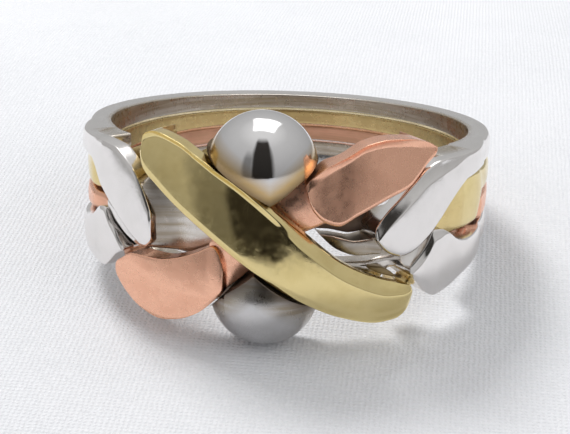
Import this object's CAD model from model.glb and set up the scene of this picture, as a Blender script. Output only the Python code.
# %% [markdown]
# # A woven puzzle ring in three colours of metal
# Four finger bands weave through each other at the front and lie stacked at the back. Two are white
# metal with a soldered bead each, one is yellow and one is rose. The solids of the ring are loaded as
# a fixed frame, and each band gets a surface with softened edges that rides on the same body.

# %% Load the solids of the ring
import math

import bpy
import numpy as np
from mathutils import Matrix, Vector


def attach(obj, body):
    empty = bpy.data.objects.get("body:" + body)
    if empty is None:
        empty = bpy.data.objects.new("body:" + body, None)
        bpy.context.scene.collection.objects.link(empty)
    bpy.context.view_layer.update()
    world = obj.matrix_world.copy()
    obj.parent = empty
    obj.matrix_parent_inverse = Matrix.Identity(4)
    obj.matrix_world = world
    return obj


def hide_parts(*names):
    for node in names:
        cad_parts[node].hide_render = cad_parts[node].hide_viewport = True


MM = 0.001
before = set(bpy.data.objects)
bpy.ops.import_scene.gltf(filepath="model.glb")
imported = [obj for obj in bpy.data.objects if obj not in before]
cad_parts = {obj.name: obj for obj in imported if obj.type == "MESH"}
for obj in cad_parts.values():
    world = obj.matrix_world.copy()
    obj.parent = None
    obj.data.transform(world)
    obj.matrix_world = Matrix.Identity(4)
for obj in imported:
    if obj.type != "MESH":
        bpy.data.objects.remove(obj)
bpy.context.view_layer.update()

# %% [markdown]
# ## Curves
# Every edge of the weave is drawn by a few points: an angle round the ring, and a height or a radius
# there. Angles start at the middle of the knot and grow to the right. A plain cubic spline would swing
# past its points and push one band into the next, so the slopes are limited at each point.

# %% A curve that never swings past its points


def along(points, at):
    """Value of the curve through (angle, value) points at whole arrays of angles. Between two points it
    is a cubic: value + rise * (3 - 2t) t^2 + width * t (1 - t) * ((1 - t) * slope0 - t * slope1), where a
    slope is the harmonic mean of the two straight slopes beside the point, or 0 at a turning point."""
    place, value = np.array(points, float).T
    step = np.diff(value) / np.diff(place)
    product = step[:-1] * step[1:]
    total = np.where(product > 0, step[:-1] + step[1:], 1.0)
    inner = np.where(product > 0, 2 * product / total, 0.0)
    slope = np.concatenate([step[:1], inner, step[-1:]])
    i = np.clip(np.searchsorted(place, at, side="right") - 1, 0, len(step) - 1)
    width = np.diff(place)[i]
    t = np.clip((at - place[i]) / width, 0, 1)
    sway = (1 - t) * slope[i] - t * slope[i + 1]
    return value[i] + (value[i + 1] - value[i]) * (3 - 2 * t) * t * t + width * t * (1 - t) * sway


def on_ring(angle, radius, height):
    """Points at an angle from the middle of the knot, a radius from the finger axis, and a height, in mm."""
    turn = np.radians(angle)
    return np.stack([radius * np.sin(turn), -radius * np.cos(turn), height], axis=-1)


# %% [markdown]
# ## The lanes round the back
# Behind the knot the four bands are stacked, a quarter of the height each. The stack is lowest at the
# very back and grows towards the sides, as a cosine does. The woven edges join on to these lanes.

# %% Levels of the metal and lanes of the stack
BORE = 9.0
GAP, CROSS_GAP = 0.14, 0.13
UNDER_TOP = BORE + 1.1
OVER_BASE = UNDER_TOP + CROSS_GAP
KNUCKLE_TOP = OVER_BASE + 1.0
LINK_TOP = BORE + 0.55
MIDDLE_BASE = LINK_TOP + CROSS_GAP
MIDDLE_TOP = MIDDLE_BASE + 0.78
ROSE_LEAF_TOP = OVER_BASE + 1.25
YELLOW_LEAF_BASE = MIDDLE_TOP + CROSS_GAP
YELLOW_LEAF_TOP = YELLOW_LEAF_BASE + 1.25
LEAF_END_TOP = YELLOW_LEAF_TOP - 0.35
KNUCKLE_SIDE = KNUCKLE_TOP - 0.4
SIDE_TOP = UNDER_TOP + 0.25
FADING_TOP = UNDER_TOP + 0.1
MIDDLE_CLEAR = MIDDLE_BASE + CROSS_GAP
RIM_FACE = OVER_BASE + CROSS_GAP
REACH, CROWN = 4.5, 0.35
RIM_BACK, RIM_FLARE = 1.78, 0.84
LANE_START, LANE_END, LANE_EASE = 78, 282, 6
TOP, UPPER, MIDDLE, LOWER, BOTTOM = 1.0, 0.5, 0.0, -0.5, -1.0


def lane(level, angle):
    """Height of a lane: its level times (half height at the back + flare * (1 + cos angle))."""
    return level * (RIM_BACK + RIM_FLARE * (1 + np.cos(np.radians(angle))))


def lane_edge(level, right, left):
    """One edge of a band right round: woven points at the right, its lane, and woven points at the left."""
    plain = (LANE_START, LANE_START + LANE_EASE, LANE_END - LANE_EASE, LANE_END)
    joints = [(angle, lane(level, angle)) for angle in plain]
    return {"points": right + joints + [(360 + angle, z) for angle, z in left], "level": level}


def height_at(edge, angle):
    """Heights of an edge: its lane round the back, and the curve through its points elsewhere."""
    if isinstance(edge, list):
        return along(edge, angle)
    in_lane = (angle >= LANE_START) & (angle <= LANE_END)
    return np.where(in_lane, lane(edge["level"], angle), along(edge["points"], angle))


def level_round(right, left, plain):
    """One radius of a band right round the ring, written like lane_edge."""
    return right + [(LANE_START, plain), (LANE_END, plain)] + [(360 + angle, r) for angle, r in left]


print("levels from the bore outwards:", [round(v, 2) for v in
      (BORE, LINK_TOP, UNDER_TOP, KNUCKLE_TOP, ROSE_LEAF_TOP, YELLOW_LEAF_TOP)])

# %% [markdown]
# ## The outlines of the weave
# These are the edges of the bands where they cross. The yellow leaf runs over everything from upper
# left to lower right. The rose band shows as two leaves with a lower part between them, and the white
# bands come from the sides as knuckles, then dive under the leaves as links.

# %% Edges of the leaves
LEAF_SPAN, LEFT_SPAN, MIDDLE_SPAN, RIGHT_SPAN = (-30.4, 38.6), (-38.8, -8), (-14, 18.5), (10.5, 43.3)
yellow_leaf_low = [
    (-30.4, 3.2), (-29, 2.5), (-25, 1.9), (-10, -0.15), (0, -1.6), (10, -2.88), (20, -3.75), (29, -4.15),
    (33, -4.1), (36, -3.8), (37.7, -3.4), (38.6, -3.05)]
yellow_leaf_high = [
    (-30.4, 3.65), (-29.3, 4.25), (-26, 4.5), (-20, 4.25), (-15, 3.75), (-10, 3.2), (-5, 2.68), (0, 2.02),
    (4, 1.4), (10, 0.42), (20, -1.1), (29, -1.95), (34, -2.27), (37, -2.47), (38, -2.62), (38.6, -2.77)]
rose_left_low = [
    (-38.8, -2.95), (-37.5, -3.35), (-35, -3.8), (-30, -4.35), (-25, -4.58), (-20, -4.42), (-15, -3.98),
    (-8, -2.75)]
rose_left_high = [
    (-38.8, -2.6), (-38, -2.2), (-36, -1.9), (-33, -1.55), (-25, -1.5), (-20, -1.27), (-15, -0.87),
    (-11, -0.52), (-9.5, -0.75), (-8, -1.6)]
rose_right_low = [
    (10.5, 2.2), (12, 1.4), (15, 0.8), (18, 0.62), (22, 1.0), (30, 1.75), (35, 2.15), (37, 2.5), (40, 3.1),
    (42.5, 3.48), (43.3, 3.66)]
rose_right_high = [
    (10.5, 2.7), (12, 2.95), (16, 3.5), (20, 3.9), (25, 4.4), (30, 4.55), (35, 4.5), (40, 4.27), (42.5, 4.02),
    (43.3, 3.9)]
rose_middle_low = [
    (-14, -3.1), (-10, -2.9), (-5, -2.2), (0, -1.4), (5, -0.6), (10, -0.05), (14, 0.25), (18.5, 0.6)]
rose_middle_high = [
    (-13, -0.75), (-10, -0.5), (-5, 0.3), (0, 1.2), (5, 1.95), (10, 2.7), (14, 2.9), (18.5, 1.6)]

# %% Edges of the bands that run right round
top_low = lane_edge(UPPER, [
    (27.5, -0.3), (30, -0.8), (32, -1.05), (35, -1.2), (38, -1.05), (42, -0.5), (46, 0.25), (50, 0.9),
    (54, 1.4), (58, 1.65), (66, 1.65)], [
        (-66, 1.7), (-58, 1.9), (-53, 1.9), (-50, 1.65), (-46, 0.9), (-40, -0.05), (-36, -0.65), (-33, -1.1),
        (-30, -1.35), (-27.5, -1.0)])
top_high = lane_edge(TOP, [
    (27.5, 0.3), (30, 0.95), (35, 1.8), (38, 2.3), (42, 2.9), (46, 3.15), (60, 3.04)], [
        (-60, 3.04), (-46, 3.25), (-41, 3.2), (-37, 2.85), (-33, 2.2), (-30, 1.4), (-27.5, 0.5)])
bottom_high = lane_edge(LOWER, [
    (37, -1.75), (38.5, -1.5), (40, -1.25), (42, -0.8), (44.5, -0.1), (47, -0.15), (50, -0.45), (54, -0.95),
    (58, -1.15), (66, -1.3)], [
        (-66, -1.3), (-58, -1.1), (-54, -0.85), (-50, -0.4), (-47, 0.0), (-44.5, 0.1), (-42, -0.5),
        (-40, -0.85), (-38, -1.35), (-36.5, -1.6)])
bottom_low = lane_edge(BOTTOM, [
    (37, -2.1), (38.5, -2.4), (40, -2.7), (42, -3.15), (46, -3.5), (50, -3.4), (60, -3.04)], [
        (-60, -3.04), (-50, -3.15), (-46, -3.05), (-43, -2.65), (-40, -2.15), (-36.5, -1.8)])
yellow_low = lane_edge(MIDDLE, [
    (35.5, -3.75), (38, -3.75), (40, -3.75), (42, -3.5), (46, -2.55), (50, -1.8), (55, -1.25), (60, -1.12),
    (66, -1.2), (71, -1.2), (74.5, -0.75)], [
        (-66, 0.05), (-56, 0.1), (-50, 0.3), (-44, 0.75), (-38, 1.4), (-33, 2.0), (-28.5, 2.6)])
yellow_high = lane_edge(UPPER, [
    (35.5, -2.7), (38, -2.85), (40, -3.0), (42, -2.55), (46, -0.9), (50, 0.4), (54, 1.25), (58, 1.5),
    (66, 1.6)], [
        (-66, 1.6), (-57, 1.75), (-50, 2.2), (-44, 2.7), (-38, 3.15), (-33, 3.7), (-28.5, 4.1)])
rose_low = lane_edge(LOWER, [
    (40.5, 3.1), (43, 2.3), (47, 1.1), (52, -0.05), (56, -0.7), (60, -0.95), (66, -1.1)], [
        (-66, -1.2), (-57, -1.0), (-50, -1.9), (-46, -2.6), (-43, -3.1), (-40, -3.4), (-37, -3.6)])
rose_high = lane_edge(MIDDLE, [
    (40.5, 4.0), (43, 3.6), (47, 2.9), (52, 1.9), (56, 1.0), (60, 0.5), (66, 0.1), (71, 0.0)], [
        (-66, -0.02), (-56, 0.02), (-50, -0.3), (-46, -0.9), (-43, -1.7), (-41, -2.25), (-39, -2.35),
        (-37, -2.3)])

# %% Edges of the white links that pass beneath
top_link_low = [
    (-31, -1.36), (-28, -1.4), (-25, -1.45), (-20, -1.6), (-15, -1.2), (-11, -0.7), (-5, 0.55), (0, 1.5),
    (4, 1.8), (8, 1.4), (12, 0.4), (16, -0.45), (20, -1.0), (25, -1.25), (30.5, -1.1)]
top_link_high = [
    (-30.5, 1.9), (-29, 2.2), (-27, 2.0), (-25, 2.3), (-20, 3.2), (-10, 4.0), (0, 4.1), (10, 3.4), (20, 1.9),
    (25, 1.2), (30.5, 0.8)]
right_rim_low = [(50, 2.5), (52, 2.12), (54.5, 1.75), (58, 1.72), (66, 1.72)]
right_rim_high = [(50, 3.1), (60, 3.0), (66, 2.95)]
left_rim_low = [(-66, 1.78), (-57, 1.97), (-50, 2.4)]
left_rim_high = [(-66, 2.95), (-60, 3.0), (-50, 3.15)]
bottom_link_high = [
    (-40, -1.0), (-37, -1.1), (-32, -1.75), (-25, -1.86), (-20, -1.75), (-15, -1.5), (-8, -1.5), (-4, -1.8),
    (0, -1.5), (5, -0.9), (11, -0.6), (16, -1.1), (20, -1.45), (28, -1.5), (33, -1.35), (39.5, -1.45)]
bottom_link_low = [
    (-40, -2.0), (-37, -1.85), (-35, -2.0), (-33, -2.3), (-30, -2.75), (-25, -3.3), (-20, -3.6), (-10, -4.0),
    (0, -4.1), (10, -4.0), (20, -3.6), (28, -3.1), (32, -2.6), (35, -2.1), (37, -2.08), (39.5, -2.3)]

# %% Edges of the small slopes that join a leaf or a knuckle to what dives beneath
link_brow = [(9, 1.0), (12, 0.3), (14.5, -0.15), (18, -0.2), (21, -0.3), (24, -0.4), (30.5, -0.2)]
tip_high = [(27, -1.5), (30, -1.55), (33, -1.85), (35, -2.25), (36.4, -2.55)]
hammered_low = [(-44.5, 0.0), (-42, -0.55), (-40, -0.9), (-38, -1.35), (-36.5, -1.65), (-33.5, -1.9)]
hammered_high = [(-44.5, 0.5), (-40, -0.12), (-36, -0.75), (-33.5, -1.15)]
ramp_low = [(-12.4, -3.0), (-10, -2.9), (-5, -2.2), (0, -1.45), (1.2, -1.75)]
ramp_high = [(-12.4, -0.4), (-11, -0.22), (-5, -1.0), (0, -1.75), (1.2, -1.6)]

# %% Radii of the faces along each band
knuckle_base = level_round(
    [(29.5, BORE), (32, OVER_BASE), (56, OVER_BASE), (64, BORE)],
    [(-64, BORE), (-56, OVER_BASE), (-32, OVER_BASE), (-29.5, BORE)], BORE)
low_knuckle_base = level_round(
    [(38.5, BORE), (41, OVER_BASE), (56, OVER_BASE), (64, BORE)],
    [(-64, BORE), (-56, OVER_BASE), (-41, OVER_BASE), (-38.5, BORE)], BORE)
knuckle_face = level_round(
    [(46, KNUCKLE_TOP), (60, KNUCKLE_SIDE), (72, SIDE_TOP)],
    [(-72, SIDE_TOP), (-60, KNUCKLE_SIDE), (-46, KNUCKLE_TOP)], UNDER_TOP)
yellow_base = level_round(
    [(42, BORE), (47, MIDDLE_BASE), (75, MIDDLE_BASE), (77.9, BORE)], [(-77, BORE)], BORE)
yellow_face = level_round(
    [(56, UNDER_TOP), (62, FADING_TOP), (72, FADING_TOP)],
    [(-72, FADING_TOP), (-61, SIDE_TOP), (-55, UNDER_TOP)], UNDER_TOP)
rose_face = level_round(
    [(43, UNDER_TOP), (47.5, LINK_TOP), (74.5, LINK_TOP), (77.5, UNDER_TOP)],
    [(-72, FADING_TOP), (-61, SIDE_TOP), (-55, UNDER_TOP)], UNDER_TOP)
yellow_leaf_under = [(-29, BORE), (-26.5, YELLOW_LEAF_BASE), (34.3, YELLOW_LEAF_BASE), (36.5, BORE)]
yellow_leaf_face = [
    (-31, LEAF_END_TOP), (0, YELLOW_LEAF_TOP), (35, LEAF_END_TOP + 0.05), (37.5, LEAF_END_TOP - 0.12),
    (38.6, LEAF_END_TOP - 0.4)]
rose_left_under = [(-38, BORE), (-36.5, OVER_BASE), (-14, OVER_BASE), (-12, MIDDLE_CLEAR)]
rose_right_under = [(15.5, MIDDLE_CLEAR), (19, OVER_BASE), (38, OVER_BASE), (40.5, BORE)]
top_link_face = [
    (-31, KNUCKLE_TOP - 0.1), (-28, KNUCKLE_SIDE), (-25, OVER_BASE + 0.22), (-21, UNDER_TOP), (-4, UNDER_TOP),
    (2, LINK_TOP), (15, LINK_TOP + 0.1), (21, UNDER_TOP - 0.1), (27, OVER_BASE + 0.1),
    (30.5, KNUCKLE_SIDE - 0.1)]
recess_face = [(9, BORE + 0.2), (20, BORE + 0.25), (30.5, BORE + 0.5)]
hammered_base = [(-44.5, OVER_BASE), (-41, OVER_BASE), (-38.5, BORE)]
hammered_face = [
    (-44.5, KNUCKLE_TOP - 0.25), (-40, KNUCKLE_SIDE), (-36, OVER_BASE + 0.15), (-33.5, UNDER_TOP)]
ramp_face = [(-12.4, OVER_BASE + 0.7), (-8, OVER_BASE + 0.68), (-3, MIDDLE_TOP + 0.22), (1.2, MIDDLE_TOP)]
tip_face = [(27, OVER_BASE + 0.3), (32, OVER_BASE + 0.6), (36.4, OVER_BASE + 0.6)]
bottom_link_face = [(-27, UNDER_TOP), (-22, LINK_TOP), (-2, LINK_TOP), (4, UNDER_TOP)]


def flat(radius):
    """A radius that stays the same along a strip."""
    return [(-90, radius), (90, radius)]


def width(value, angle):
    """A width along a strip, from one number or from a curve's points."""
    return along(value, angle) if isinstance(value, list) else np.full(len(angle), float(value))


# %% [markdown]
# ## One strip of a band
# A strip is a cross-section carried round the ring. A caster files every edge, so the section's corners
# are rounded by short curves, and the outer face swells a little between its edges as polished metal
# does. It could be a bevelled box bent by a curve, but a grid of angle and section lets each edge follow
# its own outline. Two numbers are stored at each point for the finishes: how near it is to a worn edge,
# and how deep it lies in the weave, where polish doesn't reach.

# %% Cross-sections carried round the ring
CORNER_STEPS, FLAT_STEPS = 5, 5
FRONT_HALF, FRONT_STEP, BACK_STEP = 84, 0.5, 1.5
END_ROUND = 0.12
PLAIN, SHARP = (0.14, 0.14), (0.05, 0.05)
BEVEL_SHARE, SLOPE_SHARE = 0.3, 0.8
CORNER_RADII = (0.07, 0.07, 0.09, 0.07, 0.07, 0.09)
SHADE_HALF_TURN, SHADE_RISE, SHADE_BLEND = 62, 0.35, 0.7
BORE_DIRT_RISE, BORE_DIRT_BLEND = 0.25, 0.2


def angles_along(start, stop):
    """Angles of the sections: close in the woven front, wider round the back, closest at the ends."""
    turns = np.arange(0, stop - start, FRONT_STEP) + start
    folded = np.minimum(turns % 360, 360 - turns % 360)
    keep = (folded < FRONT_HALF) | (np.arange(len(turns)) % round(BACK_STEP / FRONT_STEP) == 0)
    ends = np.degrees(END_ROUND / BORE) * np.array([0, 0.06, 0.2, 0.45, 0.75, 1])
    inner = turns[keep]
    inner = inner[(inner > start + ends[-1] + 0.1) & (inner < stop - ends[-1] - 0.1)]
    return np.concatenate([start + ends, inner, (stop - ends)[::-1]])


def end_inset(angle, start, stop):
    """How far the section draws in near an end: a quarter circle, r - sqrt(r^2 - (r - s)^2), s mm from it."""
    s = np.minimum(angle - start, stop - angle) * np.pi / 180 * BORE
    short = np.clip(END_ROUND - s, 0, END_ROUND)
    return END_ROUND - np.sqrt(END_ROUND ** 2 - short ** 2)


def rounded(corners, soft):
    """Rounds a closed section. corners has the shape (sections, corners, 2). Each corner becomes a curve
    (1-s)^2 * before + 2s(1-s) * corner + s^2 * after, and the flats between are divided evenly."""
    before, after = np.roll(corners, 1, axis=1), np.roll(corners, -1, axis=1)
    reach_back = np.linalg.norm(before - corners, axis=2) + 1e-9
    reach_on = np.linalg.norm(after - corners, axis=2) + 1e-9
    cut = np.minimum(np.array(soft), 0.42 * np.minimum(reach_back, reach_on))
    enter = corners + (before - corners) * (cut / reach_back)[..., None]
    leave = corners + (after - corners) * (cut / reach_on)[..., None]
    s = np.linspace(0, 1, CORNER_STEPS)[:, None]
    curve = ((1 - s) ** 2 * enter[:, :, None] + 2 * s * (1 - s) * corners[:, :, None]
             + s ** 2 * leave[:, :, None])
    f = np.linspace(0, 1, FLAT_STEPS + 2)[1:-1, None]
    flats = leave[:, :, None] * (1 - f) + np.roll(enter, -1, axis=1)[:, :, None] * f
    ring = np.concatenate([curve, flats], axis=2)
    return ring.reshape(len(corners), -1, 2)


def ripple(angle, height):
    """The slight unevenness of hand-polished metal, in mm: four long waves that cross each other."""
    waves = ((0.35, 1.3, 0.4), (0.21, -1.9, 1.7), (0.52, 0.8, 2.9), (0.11, 2.6, 4.4))
    return sum(0.006 * np.sin(a * angle + b * height + c) for a, b, c in waves)


def strip(start, stop, low, high, base, top, bevels, dome=0.05, lean=0.0, slopes=(1.0, 1.0), stain=0.0):
    """A strip between two angles: sections with their corners rounded, crowned and domed. The lean is how
    far the face turns up, as a share of its height, and the slopes are how steep the lower and the upper
    broken edge are. Returns points in mm, quads and end fans, and the two numbers of each point."""
    angle = angles_along(start, stop)
    inset = end_inset(angle, start, stop)
    lower = height_at(low, angle) + GAP / 2 + inset
    upper = np.maximum(height_at(high, angle) - GAP / 2 - inset, lower + 0.02)
    tall = upper - lower
    shares = [BEVEL_SHARE if slope == 1.0 else SLOPE_SHARE for slope in slopes]
    under, over = (np.minimum(width(bevel, angle), share * tall) for bevel, share in zip(bevels, shares))
    inside = np.maximum(along(base, angle), BORE) + inset * 0.5
    outside = np.maximum(along(top, angle) - inset, inside + 0.05)
    front = np.minimum(angle % 360, 360 - angle % 360)
    crown = CROWN * along([(0, 1.0), (50, 1.0), (75, 0.0), (180, 0.0)], front)
    corners = np.stack([np.stack(pair, axis=-1) for pair in (
        (inside, lower), (inside, upper), (outside - slopes[1] * over, upper), (outside, upper - over),
        (outside, lower + under), (outside - slopes[0] * under, lower))], axis=1)
    points = rounded(corners, CORNER_RADII)
    radius, height = points[..., 0], points[..., 1]
    share = (height - lower[:, None]) / tall[:, None]
    outer = np.clip((radius - outside[:, None] + 0.3) / 0.3, 0, 1)
    radius = radius - outer * crown[:, None] * (height / REACH) ** 2
    radius = radius + outer * (dome * np.minimum(tall, 2.0)[:, None] * (4 * share * (1 - share) - 1)
                               - width(lean, angle)[:, None] * (share - 0.2) * tall[:, None]
                               + ripple(angle[:, None], height))
    radius = np.maximum(radius, BORE)
    place = on_ring(angle[:, None], radius, height)
    count, around = radius.shape
    index = np.arange(count * around).reshape(count, around)
    nxt = np.roll(index, -1, axis=1)
    quads = np.stack([index[:-1], index[1:], nxt[1:], nxt[:-1]], axis=-1).reshape(-1, 4)
    first, last = count * around, count * around + 1
    fan_a = np.stack([index[0], nxt[0], np.full(around, first)], axis=-1)
    fan_b = np.stack([nxt[-1], index[-1], np.full(around, last)], axis=-1)
    middles = place[[0, -1]].mean(axis=1)
    worn = np.tile(np.repeat((0, 0, 0.8, 1, 1, 0.8), CORNER_STEPS + FLAT_STEPS)
                   * (np.arange(around) % (CORNER_STEPS + FLAT_STEPS) < CORNER_STEPS), (count, 1))
    deep = np.clip((UNDER_TOP + SHADE_RISE - radius) / SHADE_BLEND, 0, 1)
    deep = deep * (front < SHADE_HALF_TURN)[:, None]
    dirty = np.clip((BORE + BORE_DIRT_RISE - radius) / BORE_DIRT_BLEND, 0, 1)
    deep = np.maximum(np.maximum(deep, dirty), width(stain, angle)[:, None])
    marks = [np.concatenate([field.reshape(-1), [0.0, 0.0]]) for field in (worn, deep)]
    return np.concatenate([place.reshape(-1, 3), middles]), [quads, fan_a, fan_b], marks


def piece(name, strips, node, body):
    """Joins strips into one mesh at the origin, stores the marks, and rides on the body of its solid."""
    points, faces, worn, deep, start = [], [], [], [], 0
    for place, groups, marks in strips:
        points.append(place)
        faces += [face for group in groups for face in (group + start).tolist()]
        worn.append(marks[0])
        deep.append(marks[1])
        start += len(place)
    mesh = bpy.data.meshes.new(name)
    mesh.from_pydata((np.concatenate(points) * MM).tolist(), [], faces)
    for label, values in (("worn", worn), ("deep", deep)):
        mark = mesh.attributes.new(label, "FLOAT", "POINT")
        mark.data.foreach_set("value", np.concatenate(values).astype(np.float32))
    mesh.shade_smooth()
    made = bpy.data.objects.new(name, mesh)
    bpy.context.scene.collection.objects.link(made)
    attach(made, body)
    if node:
        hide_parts(node)
    print(name, len(mesh.vertices), "points,", len(mesh.polygons), "faces on", body)
    return made


# %% [markdown]
# ## The four bands
# Each band is cast in one, so its strips are one piece: the lane round the back with its knuckles, and
# the leaf or the link that carries it across the front.

# %% Make the bands
CHAMFERED = [(27, 0.6), (44, 0.66), (50, 0.45), (58, 0.14), (300, 0.14), (333, 0.2)]
LOWER_CHAMFERED = [(37, 0.36), (44, 0.45), (50, 0.14), (300, 0.14), (324, 0.2)]
YELLOW_SLOPE = [(-30, 0.28), (-10, 0.38), (5, 0.6), (28, 0.7), (36, 0.4), (38.6, 0.1)]
YELLOW_LEAN = [(-30, 0.13), (-6, 0.17), (3, 0.15), (9, 0.02), (38, -0.02)]
LINK_STAIN = [(-31, 0.9), (-28, 1.3), (-24, 1.15), (-19, 0.6), (-12, 0.6), (2, 0.9), (12, 1.3)]
ROSE_FACET = [(-38, 0.15), (-34, 0.35), (-28, 0.8), (-20, 1.45), (-12, 2.3)]
top_band = piece("white_upper_band", [
    strip(27.5, 332.5, top_low, top_high, knuckle_base, knuckle_face, (0.14, CHAMFERED), 0.04, 0.0,
          (1.0, 0.5)),
    strip(-31, 12, top_link_low, top_link_high, flat(BORE), top_link_face, PLAIN, 0.03, stain=LINK_STAIN),
    strip(9, 30.5, top_link_low, link_brow, flat(BORE), top_link_face, SHARP, 0.02, stain=1.2),
    strip(9, 30.5, link_brow, top_link_high, flat(BORE), recess_face, SHARP, 0.0, stain=1.8),
    strip(50, 66, right_rim_low, right_rim_high, flat(BORE), flat(RIM_FACE), SHARP, 0),
    strip(-66, -50, left_rim_low, left_rim_high, flat(BORE), flat(RIM_FACE), SHARP, 0)],
    "top_band", "top")
bottom_band = piece("white_lower_band", [
    strip(37, 323.5, bottom_low, bottom_high, low_knuckle_base, knuckle_face, (0.14, LOWER_CHAMFERED),
          0.04, 0.0, (1.0, 0.5)),
    strip(-40, 39.5, bottom_link_low, bottom_link_high, flat(BORE), bottom_link_face, PLAIN),
    strip(-44.5, -33.5, hammered_low, hammered_high, hammered_base, hammered_face, SHARP, 0)],
    "bottom_band", "bottom")
yellow_band = piece("yellow_gold_band", [
    strip(35.5, 331.5, yellow_low, yellow_high, yellow_base, yellow_face, PLAIN),
    strip(*LEAF_SPAN, yellow_leaf_low, yellow_leaf_high, yellow_leaf_under, yellow_leaf_face,
          (0.36, YELLOW_SLOPE), 0.04, YELLOW_LEAN, (0.35, 0.9)),
    strip(27, 36.4, yellow_leaf_high, tip_high, flat(OVER_BASE), tip_face, SHARP, 0.0, stain=1.6)],
    "yellow_band", "yellow")
rose_band = piece("rose_gold_band", [
    strip(40.5, 323, rose_low, rose_high, flat(BORE) + [(400, BORE)], rose_face, PLAIN),
    strip(*LEFT_SPAN, rose_left_low, rose_left_high, rose_left_under, flat(ROSE_LEAF_TOP),
          (0.16, ROSE_FACET), 0.02, 0.0, (1.0, 0.17)),
    strip(-12.4, 1.2, ramp_low, ramp_high, flat(MIDDLE_BASE), ramp_face, SHARP, 0),
    strip(*MIDDLE_SPAN, rose_middle_low, rose_middle_high, flat(MIDDLE_BASE), flat(MIDDLE_TOP), PLAIN),
    strip(*RIGHT_SPAN, rose_right_low, rose_right_high, rose_right_under, flat(ROSE_LEAF_TOP),
          (0.2, 0.4), 0.0, 0.15, (0.6, 0.7))],
    "rose_band", "rose")

# %% [markdown]
# ## The soldered beads
# A bead is a ball, filed away where a leaf passes it. Cutting it with another solid would leave long
# thin faces, so the ball's own points are moved instead: no point of the upper ball may lie below the
# edge of the leaves that cross under it, and none may stand inside the finger hole.

# %% Make the beads
BEAD, BEAD_HEIGHT, BEAD_SHIFT, BEAD_DEPTH = 2.5, 2.97, 0.1, 0.6
BEAD_ROWS, BEAD_COLUMNS = 128, 256
BELOW_ALL = -9.0
CREASE_ANGLE = 35


def bead(name, side, edges, node, body):
    """A sphere, radius * (cos u cos v, sin u cos v, sin v), whose heights stop a gap short of each
    (span, edge) that crosses it, and whose distance from the finger axis is at least the bore."""
    v = np.linspace(-90, 90, BEAD_ROWS + 1)[1:-1, None]
    u = np.arange(BEAD_COLUMNS)[None] * 360 / BEAD_COLUMNS
    u, v = np.radians(u), np.radians(v)
    centre = np.array([-side * BEAD_SHIFT, -(BORE + BEAD_DEPTH), side * BEAD_HEIGHT])
    ball = np.stack([np.cos(u) * np.cos(v), np.sin(u) * np.cos(v), np.sin(v) + 0 * u], axis=-1) * BEAD
    points = np.concatenate([ball.reshape(-1, 3), [[0, 0, -BEAD], [0, 0, BEAD]]]) + centre
    angle = np.degrees(np.arctan2(points[:, 0], -points[:, 1]))
    limit = np.full(len(points), BELOW_ALL)
    beyond = np.degrees(GAP / OVER_BASE)
    for span, edge in edges:
        near = (angle > span[0] - beyond) & (angle < span[1] + beyond)
        limit = np.where(near, np.maximum(limit, side * along(edge, angle) + GAP / 2), limit)
    points[:, 2] = side * np.maximum(side * points[:, 2], limit)
    radius = np.hypot(points[:, 0], points[:, 1])
    points[:, :2] *= (np.maximum(radius, BORE) / radius)[:, None]
    rows = BEAD_ROWS - 1
    index = np.arange(rows * BEAD_COLUMNS).reshape(rows, BEAD_COLUMNS)
    nxt = np.roll(index, -1, axis=1)
    quads = np.stack([index[:-1], nxt[:-1], nxt[1:], index[1:]], axis=-1).reshape(-1, 4)
    south, north = rows * BEAD_COLUMNS, rows * BEAD_COLUMNS + 1
    low_fan = np.stack([nxt[0], index[0], np.full(BEAD_COLUMNS, south)], axis=-1)
    high_fan = np.stack([index[-1], nxt[-1], np.full(BEAD_COLUMNS, north)], axis=-1)
    marks = [np.zeros(len(points)), np.clip(1.6 - 1.2 * (side * points[:, 2] - limit), 0, 1.6)]
    made = piece(name, [(points, [quads, low_fan, high_fan], marks)], node, body)
    made.data.set_sharp_from_angle(angle=math.radians(CREASE_ANGLE))
    return made


upper_bead = bead("upper_ball", 1, [
    (LEAF_SPAN, yellow_leaf_high), (MIDDLE_SPAN, rose_middle_high), (RIGHT_SPAN, rose_right_high)],
    "upper_bead", "top")
lower_bead = bead("lower_ball", -1, [
    (LEAF_SPAN, yellow_leaf_low), (MIDDLE_SPAN, rose_middle_low), (LEFT_SPAN, rose_left_low)],
    "lower_bead", "bottom")

# %% [markdown]
# ## Finishes
# Polished gold and rhodium are mirrors, so their look is mostly what they reflect. What makes them real
# is where the mirror is broken: a film of handling marks that changes the roughness, tiny pits, and a
# brown tarnish deep in the weave and inside the finger hole. White, yellow and rose are the bands'
# metals, and each of the two beads has a white finish of its own, one bright and one dull.

# %% Helpers for node trees


def new_material(name):
    """An empty node material, and its tree."""
    material = bpy.data.materials.new(name)
    material.use_nodes = True
    material.node_tree.nodes.clear()
    return material, material.node_tree


def fill(tree, socket, value):
    """Links a socket given as a value, or writes a plain number or colour."""
    if isinstance(value, bpy.types.NodeSocket):
        tree.links.new(value, socket)
    else:
        socket.default_value = value


def add(tree, kind, **inputs):
    """A node of the given kind. Inputs are named with underscores for spaces."""
    node = tree.nodes.new(kind)
    for name, value in inputs.items():
        fill(tree, node.inputs[name.replace("_", " ")], value)
    return node


def maths(tree, operation, *values):
    """One arithmetic step on numbers or sockets."""
    node = tree.nodes.new("ShaderNodeMath")
    node.operation = operation
    for socket, value in zip(node.inputs, values):
        fill(tree, socket, value)
    return node.outputs[0]


def mix(tree, factor, one, other):
    """Mixes two colours."""
    node = tree.nodes.new("ShaderNodeMix")
    node.data_type = "RGBA"
    for socket, value in zip((node.inputs[0], node.inputs[6], node.inputs[7]), (factor, one, other)):
        fill(tree, socket, value)
    return node.outputs[2]


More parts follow.
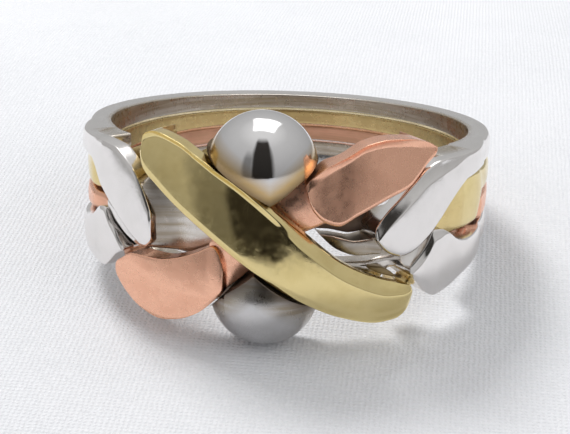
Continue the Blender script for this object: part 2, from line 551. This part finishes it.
def remap(tree, value, low, high, to_low, to_high):
    """Moves a number from one range to another, and stops at its ends."""
    node = add(tree, "ShaderNodeMapRange", Value=value, From_Min=low, From_Max=high, To_Min=to_low,
               To_Max=to_high)
    return node.outputs["Result"]


def place(tree):
    """Object coordinates, in metres."""
    return add(tree, "ShaderNodeTexCoord").outputs["Object"]


def noise(tree, scale, detail=3.0, roughness=0.5, stretch=(1, 1, 1)):
    """Fractal noise with so many cells to a metre, stretched along the axes."""
    mapping = add(tree, "ShaderNodeMapping", Vector=place(tree), Scale=stretch)
    node = add(tree, "ShaderNodeTexNoise", Vector=mapping.outputs["Vector"], Scale=scale, Detail=detail,
               Roughness=roughness)
    return node.outputs["Fac"]


def attribute(tree, name):
    """One of the two numbers stored on the surface."""
    node = tree.nodes.new("ShaderNodeAttribute")
    node.attribute_name = name
    return node.outputs["Fac"]


# %% The five metal finishes
SOOT = (0.10, 0.065, 0.045)


def metal(name, clean, cloudy, tarnish, roughness, clouding=0.6, pitting=0.12, film_of_dirt=0.35):
    """A polished metal: clouds of handling film, pits and fine streaks, worn bright edges, dark depths."""
    material, tree = new_material(name)
    worn, deep = attribute(tree, "worn"), attribute(tree, "deep")
    clouds = noise(tree, 700, 6, 0.62)
    unworn = maths(tree, "SUBTRACT", 1.0, worn)
    film = maths(tree, "MULTIPLY", remap(tree, clouds, 0.42, 0.68, 0, clouding), unworn)
    colour = mix(tree, film, (*clean, 1), (*cloudy, 1))
    grime = remap(tree, noise(tree, 500, 5, 0.65, (0.35, 0.35, 7)), 0.32, 0.66, film_of_dirt, 1)
    shaded = maths(tree, "MULTIPLY", maths(tree, "MINIMUM", deep, 1.0), grime)
    colour = mix(tree, shaded, colour, (*tarnish, 1))
    colour = mix(tree, remap(tree, deep, 1.0, 1.8, 0, 0.95), colour, (*SOOT, 1))
    smears = remap(tree, noise(tree, 2600, 4, 0.6), 0.35, 0.7, roughness[0], roughness[1])
    rough = maths(tree, "ADD", smears, maths(tree, "MULTIPLY", deep, 0.14))
    rough = maths(tree, "ADD", rough, maths(tree, "MULTIPLY", film, 0.12))
    dents = noise(tree, 700, 2, 0.5)
    pits = remap(tree, noise(tree, 4200, 2, 0.5), 0.67, 0.76, 0, -1)
    streaks = noise(tree, 5200, 3, 0.6, (1, 1, 8))
    height = maths(tree, "ADD", maths(tree, "MULTIPLY", dents, 1.0), maths(tree, "MULTIPLY", pits, pitting))
    height = maths(tree, "ADD", height, maths(tree, "MULTIPLY", streaks, 0.03))
    bump = add(tree, "ShaderNodeBump", Height=height, Strength=0.35, Distance=0.00006)
    shader = add(tree, "ShaderNodeBsdfPrincipled", Base_Color=colour, Metallic=1.0, Roughness=rough,
                 Normal=bump.outputs["Normal"])
    add(tree, "ShaderNodeOutputMaterial", Surface=shader.outputs["BSDF"])
    return material


white_metal = metal("white_metal", (0.83, 0.80, 0.78), (0.74, 0.72, 0.69), (0.40, 0.33, 0.23), (0.08, 0.2),
                    0.5)
bead_metal = metal("bead_metal", (0.70, 0.69, 0.69), (0.62, 0.61, 0.60), (0.52, 0.36, 0.16), (0.02, 0.06),
                   0.3, 0.0, 0.9)
dull_metal = metal("dull_metal", (0.56, 0.55, 0.55), (0.46, 0.45, 0.45), (0.30, 0.25, 0.18), (0.08, 0.2), 0.7)
yellow_metal = metal("yellow_metal", (0.78, 0.64, 0.31), (0.64, 0.50, 0.21), (0.64, 0.47, 0.22), (0.06, 0.20))
rose_metal = metal("rose_metal", (0.92, 0.52, 0.36), (0.80, 0.42, 0.28), (0.60, 0.34, 0.22), (0.20, 0.34))
finishes = {top_band: white_metal, bottom_band: white_metal, upper_bead: bead_metal, lower_bead: dull_metal,
            yellow_band: yellow_metal, rose_band: rose_metal}
for band, material in finishes.items():
    band.data.materials.append(material)
for name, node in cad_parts.items():
    node.data.materials.clear()
    node.data.materials.append({"yellow_band": yellow_metal, "rose_band": rose_metal}.get(name, white_metal))
print("finishes", [material.name for material in finishes.values()])

# %% [markdown]
# ## The cloth
# The ring lies on a pale woven cloth, tipped forwards on its beads. The cloth is a sheet tilted to touch
# the back edge and the lower bead, and it bends level behind the ring. It stays where it is when the
# bands tilt. Its weave is two crossed waves in the bump.

# %% Make the cloth
CLOTH_TILT = math.tan(math.radians(10.7))
BACK_EDGE = (10.1, -1.78)
LEVEL_FROM, LEVEL_RUN = 14.0, 20.0
CLOTH_REACH = 400.0


def cloth_height(y):
    """A plane of the tilt's slope, whose slope falls evenly to 0 over the run behind the ring."""
    t = np.clip((y - LEVEL_FROM) / LEVEL_RUN, 0, 1)
    run = np.minimum(y, LEVEL_FROM) - BACK_EDGE[0] + LEVEL_RUN * (t - t * t / 2)
    return BACK_EDGE[1] + CLOTH_TILT * run


across = np.linspace(-CLOTH_REACH, CLOTH_REACH, 3)
forwards = np.concatenate([
    np.linspace(-CLOTH_REACH, 10, 42), np.linspace(11, 40, 30), np.linspace(50, CLOTH_REACH, 20)])
x, y = np.meshgrid(across, forwards)
grid = np.stack([x, y, cloth_height(y)], axis=-1).reshape(-1, 3) * MM
index = np.arange(x.size).reshape(x.shape)
faces = np.stack([index[:-1, :-1], index[:-1, 1:], index[1:, 1:], index[1:, :-1]], axis=-1).reshape(-1, 4)
mesh = bpy.data.meshes.new("cloth")
mesh.from_pydata(grid.tolist(), [], faces.tolist())
mesh.shade_smooth()
cloth = bpy.data.objects.new("cloth", mesh)
bpy.context.scene.collection.objects.link(cloth)

material, tree = new_material("pale_cloth")
threads = [add(tree, "ShaderNodeTexWave", Vector=place(tree), Scale=1350.0, Distortion=2.5, Detail=1.0,
               Detail_Scale=1.5) for _ in range(2)]
threads[1].bands_direction = "Y"
weave = maths(tree, "MULTIPLY", threads[0].outputs["Fac"], threads[1].outputs["Fac"])
fuzz = noise(tree, 3500, 4, 0.75)
relief = maths(tree, "ADD", weave, maths(tree, "MULTIPLY", fuzz, 1.6))
bump = add(tree, "ShaderNodeBump", Height=relief, Strength=0.4, Distance=0.00018)
patches = remap(tree, noise(tree, 90, 3, 0.6), 0.3, 0.7, 0.4, 1)
worn_tone = maths(tree, "MULTIPLY", patches, remap(tree, fuzz, 0.3, 0.7, 1, 0.2))
tone = mix(tree, worn_tone, (0.84, 0.84, 0.86, 1), (0.72, 0.73, 0.75, 1))
shader = add(tree, "ShaderNodeBsdfPrincipled", Base_Color=tone, Roughness=0.95, Normal=bump.outputs["Normal"])
add(tree, "ShaderNodeOutputMaterial", Surface=shader.outputs["BSDF"])
cloth.data.materials.append(material)

# %% [markdown]
# ## Light
# Metal shows the room it is in. The room is a bright ceiling and a bright window behind and above, pale
# walls, and a dark card in front of the ring, as jewellers use to give polished metal its contrast. The
# card is part of the world, so it stays where it is when the view moves.

# %% The room
CARD_AZIMUTH, CARD_HALF = math.radians(7), math.radians(23)
SHADE_AZIMUTH, SHADE_HALF = math.radians(-24), math.radians(10)
SOFT = 0.07
world = bpy.data.worlds.new("studio")
bpy.context.scene.world = world
world.use_nodes = True
tree = world.node_tree
tree.nodes.clear()
parts = add(tree, "ShaderNodeSeparateXYZ", Vector=add(tree, "ShaderNodeTexCoord").outputs["Generated"])
side, ahead, height = (parts.outputs[axis] for axis in "XYZ")
azimuth = maths(tree, "ARCTAN2", side, maths(tree, "MULTIPLY", ahead, -1.0))


def within(value, middle, half, soft=SOFT):
    """1 where the value is within half of the middle, and 0 outside, with a soft border."""
    off = maths(tree, "ABSOLUTE", maths(tree, "SUBTRACT", value, middle))
    return remap(tree, off, half - soft, half + soft, 1, 0)


card = within(azimuth, CARD_AZIMUTH, CARD_HALF)
card = maths(tree, "MULTIPLY", card, remap(tree, height, 0.88, 0.96, 1, 0))
shade = within(azimuth, SHADE_AZIMUTH, SHADE_HALF)
shade = maths(tree, "MULTIPLY", shade, remap(tree, height, 0.45, 0.7, 0.6, 0))
walls = remap(tree, height, -0.1, 0.75, 0.40, 0.66)
ceiling = remap(tree, height, 0.75, 0.98, 0.0, 0.25)
window = maths(tree, "MULTIPLY", within(side, 0.02, 0.27, 0.04), within(ahead, 0.32, 0.27, 0.05))
window = maths(tree, "MULTIPLY", window, remap(tree, height, 0.5, 0.6, 0, 2.6))
level = maths(tree, "ADD", maths(tree, "ADD", walls, ceiling), window)
room = mix(tree, maths(tree, "MAXIMUM", card, shade), (1, 1, 1, 1), (0.06, 0.055, 0.05, 1))
glossy = add(tree, "ShaderNodeBackground", Color=room, Strength=level)
soft = add(tree, "ShaderNodeBackground", Color=(0.97, 0.98, 1.0, 1), Strength=0.66)
choice = add(tree, "ShaderNodeMixShader", Fac=add(tree, "ShaderNodeLightPath").outputs["Is Glossy Ray"])
tree.links.new(soft.outputs[0], choice.inputs[1])
tree.links.new(glossy.outputs[0], choice.inputs[2])
add(tree, "ShaderNodeOutputWorld", Surface=choice.outputs[0])


def lamp(name, spot, size, power):
    """A square lamp in mm, aimed at the ring."""
    light = bpy.data.lights.new(name, "AREA")
    light.size = size * MM
    light.energy = power
    holder = bpy.data.objects.new(name, light)
    holder.location = Vector(spot) * MM
    holder.rotation_euler = Vector(spot).to_track_quat("Z", "Y").to_euler()
    holder.visible_glossy = False
    bpy.context.scene.collection.objects.link(holder)


lamp("window", (-150, 130, 320), 120, 0.95)
lamp("fill", (110, -80, 90), 90, 0.035)

# %% [markdown]
# ## Camera
# The camera looks slightly down at the knot from the front, a little from the right, with the ring in
# the upper middle of the frame.

# %% Set up the camera
AZIMUTH, ELEVATION, ROLL = (math.radians(a) for a in (6.482, 16.45, 1.4))
DISTANCE, SENSOR, FRAME_WIDTH, FOCAL = 80.0, 36.0, 570, 1562.0
AIM_RIGHT, AIM_UP = 3.767, 47.642
back = Vector((math.sin(AZIMUTH) * math.cos(ELEVATION), -math.cos(AZIMUTH) * math.cos(ELEVATION),
               math.sin(ELEVATION)))
level_axis = Vector((math.cos(AZIMUTH), math.sin(AZIMUTH), 0))
right = math.cos(ROLL) * level_axis + math.sin(ROLL) * back.cross(level_axis)
pose = Matrix((right, back.cross(right), back)).transposed().to_4x4()
seen = Vector((AIM_RIGHT, AIM_UP, -FOCAL)).normalized()
aim = seen.rotation_difference(Vector((0, 0, -1))).to_matrix().to_4x4()
lens = bpy.data.cameras.new("camera")
lens.sensor_width = SENSOR
lens.lens = FOCAL * SENSOR / FRAME_WIDTH
lens.clip_start, lens.clip_end = 0.005, 5.0
camera = bpy.data.objects.new("camera", lens)
camera.matrix_world = Matrix.Translation(back * DISTANCE * MM) @ pose @ aim
bpy.context.scene.collection.objects.link(camera)
bpy.context.scene.camera = camera
bpy.context.scene.view_settings.view_transform = "Standard"
